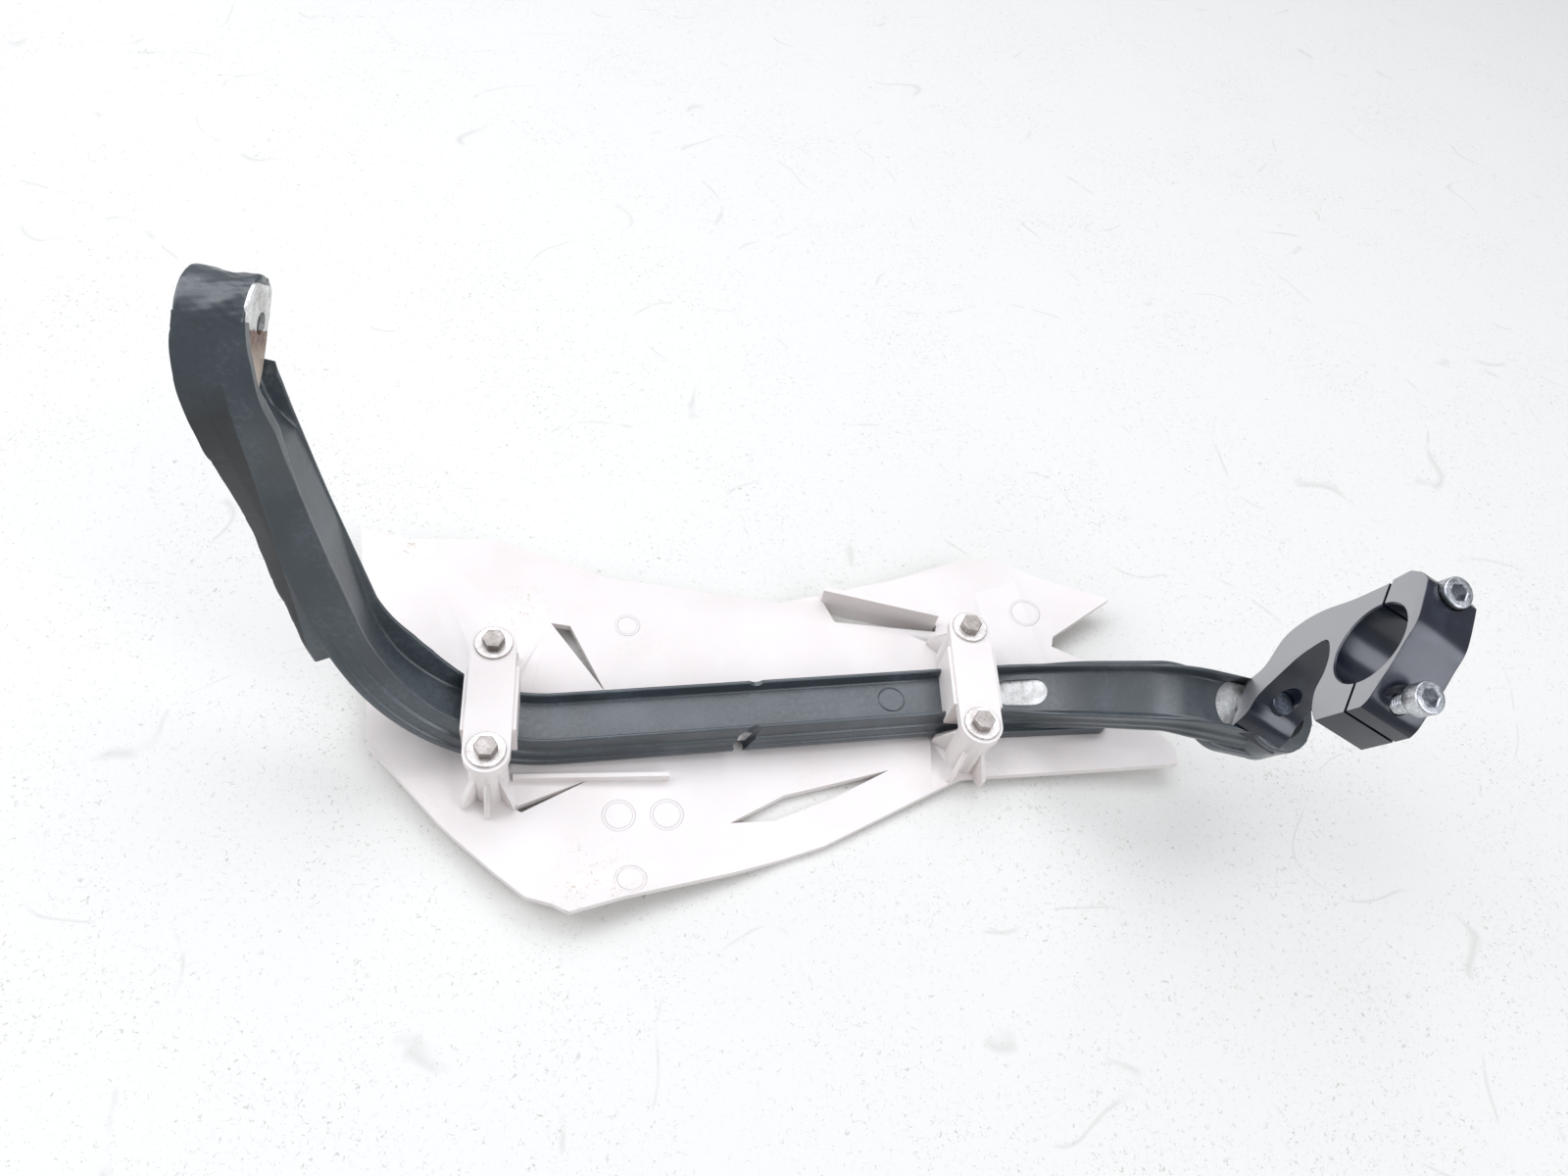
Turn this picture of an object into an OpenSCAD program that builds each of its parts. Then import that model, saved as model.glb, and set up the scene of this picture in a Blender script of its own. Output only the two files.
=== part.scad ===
// Left wrap-around hand guard for a motorcycle handlebar.
// It lies as it rests on a bench: +Z up towards the rider's side, +X from the bar end to the
// handlebar clamp, +Y towards the top of the shield. The origin is on the bench, under the middle.
// Most pieces are drawn in the guard's own frame, whose z = 0 is the top of the two bridges,
// and the last transform lays that frame down on the shield's face.

/* [Bar] */
// Width of the flat aluminium core
core_w = 18; // [16:0.5:18.5]
// Thickness of the flat core
core_t = 5; // [4:0.5:5.5]
// Height of the channel walls above the channel floor
wall_h = 4.5; // [3.5:0.5:6]
// Thickness of the plastic floor over the core
skin_t = 1.5; // [1:0.25:2]
// Radius of the round cover at each end
end_r = 13.2; // [12.5:0.1:14]
// Radius of the bare pocket at each end
pocket_r = 9.8; // [9.6:0.1:10.5]
// Bolt hole at the bar end
end_hole_d = 6.6; // [6.2:0.1:8.5]
// Bolt hole under the handlebar clamp
core_hole_d = 8.5; // [8.2:0.1:9]

/* [Shield] */
// Thickness of the plastic shield
shield_t = 3; // [2.5:0.25:3.5]
// Bend radius of the shield from end to end
shield_r = 1600; // [1450:50:2200]
// Radius of the four round towers
tower_r = 6.8; // [6:0.1:7.2]

/* [Bridges] */
// Distance between the two bolts of a bridge
bolt_gap = 42.2; // [41:0.1:43.5]
// Width of a bridge
bridge_w = 15.8; // [14:0.1:17]
// Thickness of a bridge
bridge_t = 4; // [3.5:0.25:4.5]
// Outer diameter of the round washers
washer_d = 13.2; // [12:0.1:14]
// Size of the bolt heads across the flats
hex_af = 7; // [7:0.5:8]

/* [Handlebar clamp] */
// Diameter of the handlebar in the clamp
bar_d = 28.6; // [28:0.1:29]
// Width of the clamp along the handlebar
clamp_w = 18; // [16:0.5:20]
// Gap between the clamp's two halves
split_gap = 1.2; // [0.8:0.1:2]
// Diameter of the two cap screws
screw_d = 6; // [5.8:0.1:6]
// How far the lower cap screw stands proud
proud = 6; // [0:0.5:8]

/* [Hidden] */
$fn = 64;

// Rest: the guard frame tilted and lifted on to the bench.
rest_x = 1.49;
rest_y = 0.97;
rest_z = 34.52;
// Small step that keeps two faces from lying in one plane
eps = 0.02;

// Bar path: corners, bend radii and the roll of the flat bar on each straight.
corner = [[-63, 62.6, 110.7], [-65.2, 54, 101], [-27.5, -2.5, -18.4],
    [206, 1.1, -15.9], [236, -29, 30.6], [271.8, -36.5, 25.6]];
bend = [40, 66, 45, 20];
roll = [14.3, 1.4, 0, 5, 18.2];
arc_n = 12;

function unit(v) = v / norm(v);
function turned(v, a, t) = v * cos(t) + cross(a, v) * sin(t) + a * (a * v) * (1 - cos(t));
function square_to(v, d) = unit(v - (v * d) * d);
legs = len(corner) - 1;
dir = [for (i = [0:legs - 1]) unit(corner[i + 1] - corner[i])];
side = [for (i = [0:legs - 1]) turned(square_to([0, 1, 0], dir[i]), dir[i], roll[i])];
turn = [for (i = [0:legs - 2]) acos(dir[i] * dir[i + 1])];
setback = [for (i = [0:legs - 2]) bend[i] * tan(turn[i] / 2)];

// One bend as stations: a point, the direction along the bar and the direction across it.
function bend_at(i) = let (a = unit(cross(dir[i], dir[i + 1])), s = corner[i + 1] - dir[i] * setback[i],
    c = s + cross(a, dir[i]) * bend[i])
    [for (k = [0:arc_n]) let (t = k / arc_n, d = turned(dir[i], a, turn[i] * t), e = t * t * (3 - 2 * t))
        [c + turned(s - c, a, turn[i] * t), d, square_to(side[i] * (1 - e) + side[i + 1] * e, d)]];
path = concat([[corner[0], dir[0], side[0]]], bend_at(0), bend_at(1), bend_at(2), bend_at(3),
    [[corner[legs], dir[legs - 1], side[legs - 1]]]);
last = len(path) - 1;
function up(s) = cross(s[1], s[2]);

// A flat section carried along stations, and along the bar's own stations from a to b.
module sweep(section, way) {
    n = len(section);
    m = len(way);
    points = [for (s = way) for (q = section) s[0] + q.x * s[2] + q.y * up(s)];
    faces = concat([[for (j = [0:n - 1]) j]], [[for (j = [0:n - 1]) m * n - 1 - j]],
        [for (i = [0:m - 2]) for (j = [0:n - 1]) let (k = (j + 1) % n)
            each [[i * n + j, (i + 1) * n + j, (i + 1) * n + k], [i * n + j, (i + 1) * n + k, i * n + k]]]);
    polyhedron(points, faces, convexity = 8);
}
module along(section, a = 0, b = last) sweep(section, [for (i = [a:b]) path[i]]);

// Places children in a frame given by an origin, an x direction and a z direction.
module frame(o, x, z) {
    y = cross(z, x);
    translate(o) rotate([atan2(y.z, z.z), asin(-x.z), atan2(x.y, x.x)]) children();
}
module left_end() frame(corner[0], -dir[0], up(path[0])) children();
module right_end() frame(corner[legs], dir[legs - 1], up(path[last])) children();

// Lays the guard frame down on the bench.
module lay() translate([-109.74, -6.4, rest_z]) rotate([rest_x, rest_y, 0]) children();

// The left end plate lies flush with the cover's rim; z = 0 is its rider's face.
module left_plate() left_end() translate([0, 0, 4]) rotate([0, -3.3, 0]) children();
// The right end's bolt sits inboard of the round end.
module right_bolt() right_end() translate([-5, 0, -skin_t]) children();

// Flat outline with round ends, from one round centre back to the other.
module oblong(r, l) {
    circle(r);
    translate([-l, 0]) circle(r);
    translate([-l, -r]) square([l, 2 * r]);
}

// Bar core: the flat aluminium bar with a round end and a hole at each end.
core_tip = [path[last][0] + dir[legs - 1] * core_w / 2, dir[legs - 1], side[legs - 1]];
core_path = concat([for (i = [11:last - 1]) path[i]], [core_tip]);
module core_blank() {
    w = core_w / 2;
    difference() {
        sweep([[-w, -skin_t - core_t], [w, -skin_t - core_t], [w, -skin_t], [-w, -skin_t]], core_path);
        right_end() translate([0, 0, -20]) difference() {
            translate([0, -20, 0]) cube([20, 40, 40]);
            translate([0, 0, -1]) cylinder(r = w, h = 42);
        }
    }
    left_plate() translate([0, 0, -core_t]) linear_extrude(core_t) {
        circle(w);
        translate([-24, -w]) square([24, core_w]);
    }
}

module bar_core() color([0.78, 0.79, 0.8]) lay() difference() {
    core_blank();
    left_plate() translate([0, 0, -20]) cylinder(d = end_hole_d, h = 40);
    right_bolt() translate([0, 0, -20]) cylinder(d = core_hole_d, h = 40);
}

// Cover section: a channel open to the rider, wider at the back, with two ridges on each side.
cover_half = [[11, -8.8], [12.7, -8], [12.7, -5.6], [11.8, -5], [11.6, -1.8], [10.4, -1],
    [10, wall_h], [8.6, wall_h], [8, 0]];
cover = concat(cover_half, [for (i = [len(cover_half) - 1:-1:0]) [-cover_half[i].x, cover_half[i].y]]);

// Oblong window in the channel floor beside the right bridge.
module window() let (s = path[32]) frame(s[0], s[1], up(s)) translate([5, 0, -skin_t - 0.4])
    linear_extrude(9) oblong(5.2, 10);

// Bar cover: plastic moulded over the core, with a thick round end at each bolt.
module bar_cover() color([0.07, 0.08, 0.09]) lay() difference() {
    union() {
        along(cover);
        // Thick back of the left leg
        along([[-10.8, -14], [10.8, -14], [11.2, -8], [-11.2, -8]], 0, 16);
        left_end() translate([0, 0, -14.3]) cylinder(r = end_r, h = 14.6 + wall_h);
        right_end() translate([0, -0.7, -12.8]) cylinder(r = end_r + 0.7, h = 13.1 + wall_h);
        right_end() translate([-0.5, -0.7, -12.5]) linear_extrude(5) oblong(end_r + 0.5, 13.5);
        // Tongue that runs on along the shield where the bar lifts off it
        tongue();
    }
    core_blank();
    left_plate() translate([0, 0, -0.4]) linear_extrude(20) oblong(pocket_r, 13);
    right_end() translate([0, 0, -skin_t - 0.4]) linear_extrude(20) oblong(pocket_r, 12.7);
    left_plate() translate([0, 0, -30]) cylinder(r = 6.2, h = 30 - core_t / 2);
    right_bolt() translate([0, 0, -20]) cylinder(r = 8.6, h = 20 - core_t / 2);
    // Scraped outer edge
    left_end() rotate([90, 0, 0]) linear_extrude(40, center = true)
        polygon([[9.3, -14.2], [13.3, -5], [22, -5], [22, -20], [9.3, -20]]);
    // Gouge across the lower wall and a small notch in the upper one
    gouge();
    notch();
    // Room for the clamp's foot
    clamp_place() translate([foot - 15.6, pivot_y - 12.3, -clamp_w - 0.4]) cube([16, 26, clamp_w + 0.8]);
    window();
}
module gouge() translate([95, -13.2, -10]) rotate([-8, -152, 0]) cylinder(r = 3.6, h = 30);
module notch() translate([96, 4, -11.2]) rotate([-90, 0, 0]) cylinder(r = 3.4, h = 10);
module tongue() translate([230, -12, -21.8]) rotate([0, -4.2, -3]) translate([0, 0, -0.1])
    linear_extrude(4.4) oblong(4.5, 50);

// Shield outline seen from the rider's side.
outline = [[-50.7, 93], [-30.7, 87.3], [2.9, 83.3], [20.4, 76.5], [43.6, 66.6], [86.8, 58.3],
    [113.4, 53.3], [128.9, 55.8], [162.9, 61.3], [196.3, 69.7], [209.5, 68.8], [254.8, 45.7],
    [225.4, 29.8], [223.5, 25.1], [233.6, 17.9], [259.2, -25.3], [258.2, -32.4], [172.4, -29.2],
    [159.3, -34.1], [114.8, -51.5], [80.7, -59.5], [42.7, -66.2], [24.1, -70.8], [18.8, -67.4],
    [10.3, -64], [-0.4, -53.6], [-18.4, -34.5], [-37, -11.1], [-42.8, -4.5], [-44.4, 20.1],
    [-47.5, 54.4]];

// Creases: a point on the line, the outward direction and the rise per millimetre.
crease = [[33.8, 52.8, 0.06, 1, 0.25], [-7.4, 64.9, 0.52, 0.85, 0.3], [40, -48.8, -0.14, -0.99, 0.35],
    [3, -38.7, -0.43, -0.9, 0.25], [-27.2, -17.7, -0.83, -0.55, 0.35]];
// The face is lowest at this x, and this far under the bridges' tops.
face_x = 88;
face_drop = 28.4;
function face_z(x) = pow(x - face_x, 2) / (2 * shield_r) - face_drop;

// Everything on the rider's side of the shield's face, moved towards the front by t.
module behind(t) intersection() {
    translate([face_x, 300, shield_r - face_drop]) rotate([90, 0, 0])
        cylinder(r = shield_r + t, h = 600, $fn = 900);
    translate([-100, -120, -60]) cube([400, 260, 75]);
    union() {
        behind_crease(0, t);
        behind_crease(1, t);
    }
    behind_crease(2, t);
    behind_crease(3, t);
    behind_crease(4, t);
}
module behind_crease(i, t) let (c = crease[i], d = unit([c[2], c[3]]),
    z = unit([-c[4] * d.x, -c[4] * d.y, 1]))
    frame([c[0], c[1], face_z(c[0])] - z * t, square_to([1, 0, 0], z), z)
        translate([-500, -500, 0]) cube([1000, 1000, 150]);

// Towers that carry the bridges, each with fins at its foot.
bridges = [[0, 0.45, -3.4], [176.9, 0.15, -7.5]];
module at_bolt(b, s) let (p = bridges[b]) translate([p.x, p.y, 0]) rotate([0, 0, p.z])
    translate([0, s * bolt_gap / 2, 0]) children();
module tower(b, s, fins) intersection() {
    at_bolt(b, s) {
        translate([0, 0, -40]) cylinder(r = tower_r, h = 40 - bridge_t);
        for (a = fins) rotate([90, 0, a]) translate([0, 0, -1])
            linear_extrude(2) polygon([[0, -40], [13, -40], [13, -23], [tower_r, -12], [0, -12]]);
    }
    behind(shield_t - 1);
}

// Openings through the shield.
vents = [[[21.5, 47.6], [28.9, 46.1], [41, 15.6]], [[6.1, -29.8], [9.4, -31.5], [35.3, -19.2]],
    [[82.1, -40.1], [103.2, -30.8], [144.6, -23.7], [121.3, -33.4], [98.2, -40.5]],
    [[131, 54], [135.5, 44], [176.5, 36.4], [177.5, 39.5]]];

module shield() color([0.95, 0.92, 0.92]) lay() difference() {
    union() {
        difference() {
            intersection() {
                behind(shield_t);
                translate([0, 0, -60]) linear_extrude(80) polygon(outline);
            }
            behind(0);
            for (v = vents) translate([0, 0, -60]) linear_extrude(80) polygon(v);
        }
        tower(0, 1, [60, 120]);
        tower(0, -1, [-45, -90, -135]);
        tower(1, 1, [45, 135]);
        tower(1, -1, [-60, -120, 150]);
        // Low rib under the bar
        intersection() {
            translate([6.5, -19.6, -40]) rotate([0, 0, -2.8]) cube([55, 1.6, 16.2]);
            behind(shield_t - 1);
        }
        // Lip under the raised wing
        intersection() {
            translate([130.5, 53.2, -40]) rotate([0, 0, -17.5]) cube([48, 2.2, 40]);
            behind(shield_t + 3);
            translate([0, 0, -60]) linear_extrude(42) square([400, 400], center = true);
        }
    }
    for (b = [0, 1]) for (s = [-1, 1]) at_bolt(b, s) {
        translate([0, 0, -13]) cylinder(d = 6, h = 20);
        translate([0, 0, -20]) cylinder(d = 4.6, h = 20);
    }
}

// Bridge: a plate with round ends over a saddle that hugs the bar.
module bridge(b, first, to) color([0.93, 0.91, 0.91]) lay() difference() {
    union() {
        translate([bridges[b].x, bridges[b].y, 0]) rotate([0, 0, bridges[b].z]) {
            translate([-bridge_w / 2, -bolt_gap / 2, -bridge_t]) cube([bridge_w, bolt_gap, bridge_t]);
            translate([-9.3, -12.6, -16]) cube([18.6, 25.2, 16 - 1.2]);
        }
        at_bolt(b, 1) translate([0, 0, -bridge_t]) cylinder(d = bridge_w, h = bridge_t);
        at_bolt(b, -1) translate([0, 0, -bridge_t]) cylinder(d = bridge_w, h = bridge_t);
    }
    along(cover, first, to);
    for (s = [-1, 1]) at_bolt(b, s) translate([0, 0, -20]) cylinder(d = 4.5, h = 40);
}
module bridge_left() bridge(0, 18, 26);
module bridge_right() bridge(1, 26, 30);

// Bridge fixings: hex bolt, round washer and threaded insert.
module hex_bolt(b, s) color([0.55, 0.53, 0.52]) lay() at_bolt(b, s) {
    translate([0, 0, 1]) cylinder(d = hex_af / cos(30), h = 2.8, $fn = 6);
    translate([0, 0, -11]) cylinder(d = 4, h = 12.5);
}
module round_washer(b, s) color([0.75, 0.74, 0.74]) lay() at_bolt(b, s) difference() {
    cylinder(d = washer_d, h = 1);
    translate([0, 0, -1]) cylinder(d = 4.3, h = 3);
}
module insert(b, s) color([0.72, 0.58, 0.3]) lay() at_bolt(b, s) translate([0, 0, -13]) difference() {
    cylinder(d = 6, h = 8.5);
    translate([0, 0, -1]) cylinder(d = 4, h = 11);
}
module bolt_left_top() hex_bolt(0, 1);
module bolt_left_low() hex_bolt(0, -1);
module bolt_right_top() hex_bolt(1, 1);
module bolt_right_low() hex_bolt(1, -1);
module washer_left_top() round_washer(0, 1);
module washer_left_low() round_washer(0, -1);
module washer_right_top() round_washer(1, 1);
module washer_right_low() round_washer(1, -1);
module insert_left_top() insert(0, 1);
module insert_left_low() insert(0, -1);
module insert_right_top() insert(1, 1);
module insert_right_low() insert(1, -1);

// Clamp frame: z runs along the handlebar, x from the handlebar down to the bar's end plate.
reach = 63.9;
// The foot's flat face stands off the end plate by the height of its round pad.
pad_h = 3.3;
foot = reach - pad_h;
pivot_y = 4.3;
screw_y = 18.8;
split_a = -3.1;
bar_axis = square_to([-0.83, 0.51, 0.224], up(path[last]));
clamp_x = -up(path[last]);
clamp_y = cross(bar_axis, clamp_x);
clamp_o = corner[legs] - dir[legs - 1] * 5 - up(path[last]) * (skin_t - eps) - clamp_x * reach
    - clamp_y * pivot_y + bar_axis * clamp_w / 2;
module clamp_place() frame(clamp_o, clamp_x, bar_axis) children();
module clamp_frame() lay() clamp_place() children();

// Clamp body: half a ring, the arm and the foot with its threaded hole.
body_side = [[-4, -23.1], [6.7, -22.5], [15.3, -22.2], [foot - 31.3, -22.9], [foot - 20.7, -21.1],
    [foot - 13.2, -16.9], [foot - 7.6, -6.7], [foot, -2.9], [foot, 17.3], [foot - 6.6, 12.8],
    [foot - 10, 6.3], [foot - 20, -1.1], [foot - 27.1, -5.5], [24.5, -8.3], [21.5, -7.8], [19.6, -5.1], [18, 0], [18, 6.2], [19.5, 12.6], [17.9, 20],
    [14.6, 24.9], [-4, 24.9]];
cap_side = [[4, 24.9], [-5, 24.8], [-7.5, 22.5], [-10, 17.4], [-13.3, 11], [-15.7, 4.7], [-18.5, -3.3],
    [-17.7, -18.1], [-14.4, -21.7], [-8.7, -24.7], [4, -23.1]];

module screw_line(x, s) rotate([0, 0, split_a]) translate([x, s * screw_y, -clamp_w / 2])
    rotate([0, 90, 0]) children();
module screw_holes(d) for (s = [-1, 1]) screw_line(-40, s) cylinder(d = d, h = 52);

module clamp_body() color([0.05, 0.05, 0.06]) clamp_frame() difference() {
    union() {
        translate([0, 0, -clamp_w]) linear_extrude(clamp_w) polygon(body_side);
        translate([foot - 0.6, pivot_y, -clamp_w / 2]) rotate([0, 90, 0])
            cylinder(r = 8.6, h = reach - foot + 0.6);
    }
    translate([0, 0, -50]) cylinder(d = bar_d, h = 100);
    rotate([0, 0, split_a]) translate([-30, -40, -40]) cube([30 + split_gap / 2, 80, 80]);
    screw_holes(screw_d);
    translate([foot - 30.6, pivot_y, -clamp_w / 2]) rotate([0, 90, 0]) cylinder(d = 8, h = 40);
}

module clamp_cap() color([0.05, 0.05, 0.06]) clamp_frame() difference() {
    translate([0, 0, -clamp_w]) linear_extrude(clamp_w) polygon(cap_side);
    translate([0, 0, -50]) cylinder(d = bar_d, h = 100);
    rotate([0, 0, split_a]) translate([-split_gap / 2, -40, -40]) cube([30, 80, 80]);
    screw_holes(screw_d + 0.6);
    screw_line(-33.5, -1) cylinder(r = 5.5, h = 20);
    screw_line(-30, 1) cylinder(r = 5.5, h = 20);
}

// Cap screw with a hex socket, its head's underside at x.
module cap_screw(x, s, l) color([0.72, 0.72, 0.73]) clamp_frame()
    screw_line(x, s) difference() {
        union() {
            translate([0, 0, -6]) cylinder(d = 10, h = 6);
            translate([0, 0, -1]) cylinder(d = screw_d, h = l + 1);
        }
        translate([0, 0, -7]) cylinder(d = 5 / cos(30), h = 4, $fn = 6);
    }
module cap_screw_top() cap_screw(-13.5, -1, 25);
module cap_screw_low() cap_screw(-10 - proud, 1, 25);

// Pivot bolt, driven from the front of the guard through the core into the foot.
module pivot_bolt() color([0.66, 0.66, 0.67]) lay() right_bolt() translate([0, 0, -core_t - 1.6]) {
    translate([0, 0, -5.3]) cylinder(d = 13 / cos(30), h = 5.3, $fn = 6);
    translate([0, 0, -1]) cylinder(d = 8, h = core_t + 17.6);
}
module pivot_washer() color([0.7, 0.7, 0.71]) lay() right_bolt()
    translate([0, 0, -core_t - 1.6]) difference() {
        cylinder(d = 16, h = 1.6);
        translate([0, 0, -1]) cylinder(d = 8.4, h = 4);
    }

bar_core();
bar_cover();
shield();
bridge_left();
bridge_right();
bolt_left_top();
bolt_left_low();
bolt_right_top();
bolt_right_low();
washer_left_top();
washer_left_low();
washer_right_top();
washer_right_low();
insert_left_top();
insert_left_low();
insert_right_top();
insert_right_low();
clamp_body();
clamp_cap();
cap_screw_top();
cap_screw_low();
pivot_bolt();
pivot_washer();
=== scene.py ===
import math
from functools import partial

import bmesh
import bpy
import numpy as np
from mathutils import Matrix, Vector


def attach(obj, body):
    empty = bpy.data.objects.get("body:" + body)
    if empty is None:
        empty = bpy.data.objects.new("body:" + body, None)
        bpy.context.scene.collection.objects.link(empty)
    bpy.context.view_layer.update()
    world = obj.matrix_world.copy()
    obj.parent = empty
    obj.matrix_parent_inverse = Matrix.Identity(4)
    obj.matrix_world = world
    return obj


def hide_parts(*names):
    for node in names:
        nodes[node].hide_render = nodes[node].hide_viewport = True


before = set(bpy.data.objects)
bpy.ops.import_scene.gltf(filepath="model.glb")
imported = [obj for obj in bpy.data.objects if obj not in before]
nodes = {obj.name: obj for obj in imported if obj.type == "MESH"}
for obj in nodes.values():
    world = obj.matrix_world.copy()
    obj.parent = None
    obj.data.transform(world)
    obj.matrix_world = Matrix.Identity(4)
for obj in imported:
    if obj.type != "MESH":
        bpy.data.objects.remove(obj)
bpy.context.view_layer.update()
mm = 0.001
print("frame loaded:", len(nodes), "pieces")

# The guard's own frame, with z = 0 at the bridges' tops, is laid down by two small turns and a shift in mm.
lieDown = {"turnX": math.radians(1.49), "turnY": math.radians(0.97), "shift": (-109.74, -6.4, 34.52)}
lieTurn = np.array(Matrix.Rotation(lieDown["turnY"], 3, "Y") @ Matrix.Rotation(lieDown["turnX"], 3, "X"))


def laidWay(ways):
    # directions in the guard's frame -> directions in the scene
    return np.asarray(ways, float) @ lieTurn.T


def laid(points):
    # points in the guard's frame, in mm -> points in the scene, in metres
    return (laidWay(points) + np.array(lieDown["shift"])) * mm


def unit(v):
    return v / np.linalg.norm(v, axis=-1, keepdims=True)


def turned(v, axis, angle):
    # v turned about axis by angle (radians), all as arrays
    angle = np.asarray(angle)[..., None]
    along = (v * axis).sum(-1, keepdims=True)
    return v * np.cos(angle) + np.cross(axis, v) * np.sin(angle) + axis * along * (1 - np.cos(angle))


def squareTo(v, direction):
    return unit(v - (v * direction).sum(-1, keepdims=True) * direction)


def eased(x, start, stop):
    # 0 before start and 1 after stop, with three t squared less two t cubed between them
    t = np.clip((x - start) / (stop - start), 0, 1)
    return t * t * (3 - 2 * t)


# The bar's path: corners, bend radii and rolls in the guard's frame, in mm and degrees, as the model has them.
barPath = {"corners": [(-63, 62.6, 110.7), (-65.2, 54, 101), (-27.5, -2.5, -18.4), (206, 1.1, -15.9),
                       (236, -29, 30.6), (271.8, -36.5, 25.6)],
           "bends": [40, 66, 45, 20], "rolls": [14.3, 1.4, 0, 5, 18.2], "perBend": 28}


def makePath(look):
    # stations along straights and arcs: point, direction, side and the length so far. Each arc turns its start
    # about its centre, and the side goes over from one straight's roll to the next as it does.
    corners = np.array(look["corners"], float)
    heading = unit(np.diff(corners, axis=0))
    upright = np.array([0.0, 1, 0])
    sides = np.array([turned(squareTo(upright, d), d, np.radians(r)) for d, r in zip(heading, look["rolls"])])
    points, headings, across = [corners[:1]], [heading[:1]], [sides[:1]]
    t = np.linspace(0, 1, look["perBend"])
    share = eased(t, 0, 1)[:, None]
    for i, radius in enumerate(look["bends"]):
        angle = math.acos(float(heading[i] @ heading[i + 1]))
        axis = unit(np.cross(heading[i], heading[i + 1]))
        start = corners[i + 1] - heading[i] * radius * math.tan(angle / 2)
        centre = start + np.cross(axis, heading[i]) * radius
        way = turned(np.repeat(heading[i][None], len(t), 0), axis, angle * t)
        points.append(centre + turned(np.repeat((start - centre)[None], len(t), 0), axis, angle * t))
        headings.append(way)
        across.append(squareTo(sides[i] * (1 - share) + sides[i + 1] * share, way))
    ends = ((points, corners), (headings, heading), (across, sides))
    point, way, side = (np.concatenate(group + [last[-1:]]) for group, last in ends)
    reach = np.concatenate([[0], np.cumsum(np.linalg.norm(np.diff(point, axis=0), axis=1))])
    return point, way, side, reach


pathPoint, pathWay, pathSide, pathReach = makePath(barPath)


def stationsAt(lengths):
    # point, direction, side and up at given lengths along the path, in mm
    point, way, side = (np.stack([np.interp(lengths, pathReach, line[:, k]) for k in range(3)], 1)
                        for line in (pathPoint, pathWay, pathSide))
    way = unit(way)
    side = squareTo(side, way)
    return point, way, side, np.cross(way, side)


def bendReach(bend, twelfths):
    # the length along the path at which so many twelfths of a bend are done
    start, stop = pathReach[[1 + bend * barPath["perBend"], (bend + 1) * barPath["perBend"]]]
    return start + (stop - start) * twelfths / 12


def hexColour(text):
    # sRGB hex to linear RGBA
    parts = [int(text[i:i + 2], 16) / 255 for i in (1, 3, 5)]
    return tuple(c / 12.92 if c <= 0.04045 else ((c + 0.055) / 1.055) ** 2.4 for c in parts) + (1.0,)


def addNode(tree, kind, inputs, output=0, stops=(), **settings):
    # one node: inputs take values, hex colours or links from other nodes, settings are its attributes, and
    # stops are the (position, grey) pairs of a colour ramp. It gives back the output that is asked for.
    node = tree.nodes.new("ShaderNode" + kind)
    for key, value in settings.items():
        setattr(node, key, value)
    for key, value in inputs.items():
        if isinstance(value, bpy.types.NodeSocket):
            tree.links.new(value, node.inputs[key])
        else:
            node.inputs[key].default_value = hexColour(value) if isinstance(value, str) else value
    if stops:
        for element, (position, grey) in zip(node.color_ramp.elements, stops):
            element.position = position
            element.color = (grey, grey, grey, 1.0)
    return node.outputs[output] if node.outputs else None


def startMaterial(name, layers):
    # an empty material, its function for adding nodes, its Object coordinates, and one noise for each layer,
    # which is given as the width of a blotch in mm, detail, roughness and distortion
    material = bpy.data.materials.new(name)
    material.use_nodes = True
    material.node_tree.nodes.clear()
    add = partial(addNode, material.node_tree)
    place = add("TexCoord", {}, "Object")
    noises = [add("TexNoise", {"Vector": place, "Scale": 1.0 / (size * mm), "Detail": detail,
                               "Roughness": roughness, "Distortion": distortion})
              for size, detail, roughness, distortion in layers]
    return material, add, place, noises


# The left leg's outer face is rubbed dull and carries a painted shade below a sloping line, so far along the
# path:
# a place on it, and the ways along, across and down from there.
rubbedShadeLine = {"length": 23.0, "slope": 0.139}
legPoint, legWay, legSide, legUp = (v[0] for v in stationsAt(np.array([rubbedShadeLine["length"]])))
rubbedShadePlace = {"point": laid(legPoint), "along": laidWay(legWay), "across": laidWay(legSide),
               "down": laidWay(legUp + legWay * rubbedShadeLine["slope"])}
# The near-black strip colour is a painted shade on the left leg's lower outer face; the scuff noise only varies
# it.
blackPlastic = {"colour": "#30383d", "worn": "#616970", "dust": "#414a50", "rubbedAndShaded": "#080c10", "rough": 0.34,
                "layers": [(24, 4, 0.55, 0), (1.6, 6, 0.7, 0), (0.5, 2, 0.55, 0)],
                "wornStops": [(0.27, 0), (0.42, 0.55)], "dustStops": [(0.42, 0), (0.75, 0.7)],
                "strip": [("down", -1.6, -2.1), ("along", -12, -1), ("along", 83, 81), ("across", -3, -4)],
                "stripStops": [(0.3, 1), (0.62, 0.8)]}


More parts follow.
